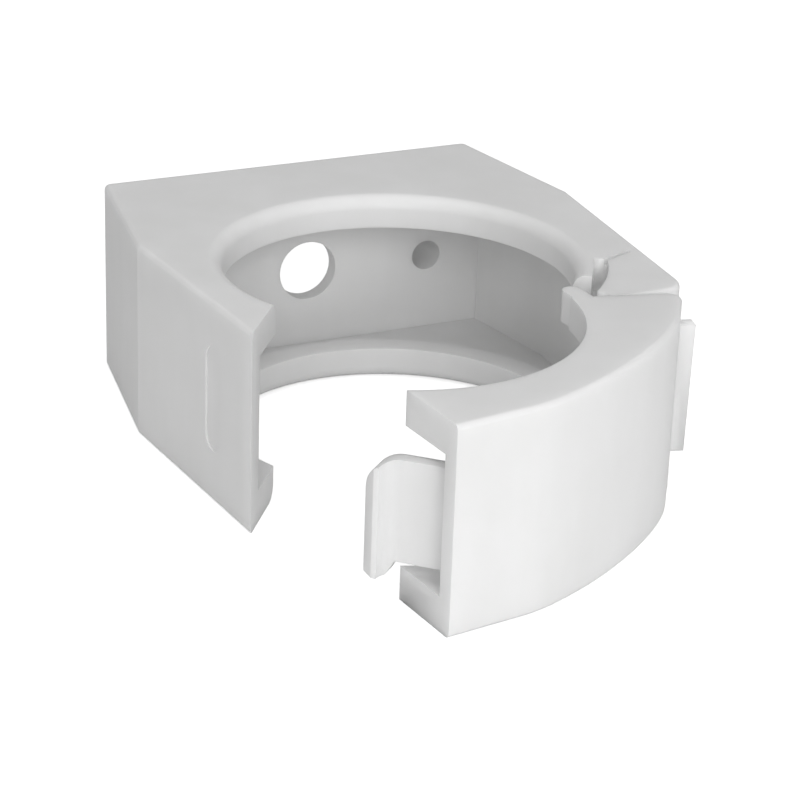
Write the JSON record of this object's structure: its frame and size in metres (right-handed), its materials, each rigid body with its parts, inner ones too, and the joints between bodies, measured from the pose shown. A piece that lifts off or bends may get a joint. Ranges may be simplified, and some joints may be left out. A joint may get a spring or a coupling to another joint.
{
  "type": "hinged pipe clip",
  "caption": "White plastic wall clip for a 22 mm pipe, with a hinged jaw that snaps shut round the pipe, shown open.",
  "frame": {"origin": "on the axis of the pipe bore, at half the clip's height", "axes": "+Z along the pipe, upward as pictured; +Y towards the wall"},
  "size_m": [0.0305, 0.0439, 0.013],
  "materials": {
    "white_plastic": "satin moulded polypropylene"
  },
  "bodies": {
    "body": {"clip_body": "white_plastic"},
    "jaw": {"hinged_jaw": "white_plastic"}
  },
  "joints": [
    {"name": "jaw_hinge", "type": "hinge", "parent": "body", "child": "jaw", "pos_m": [0.0097, -0.01, 0], "axis": [0, 0, 1], "range_deg": [-42.5, 0]}
  ]
}
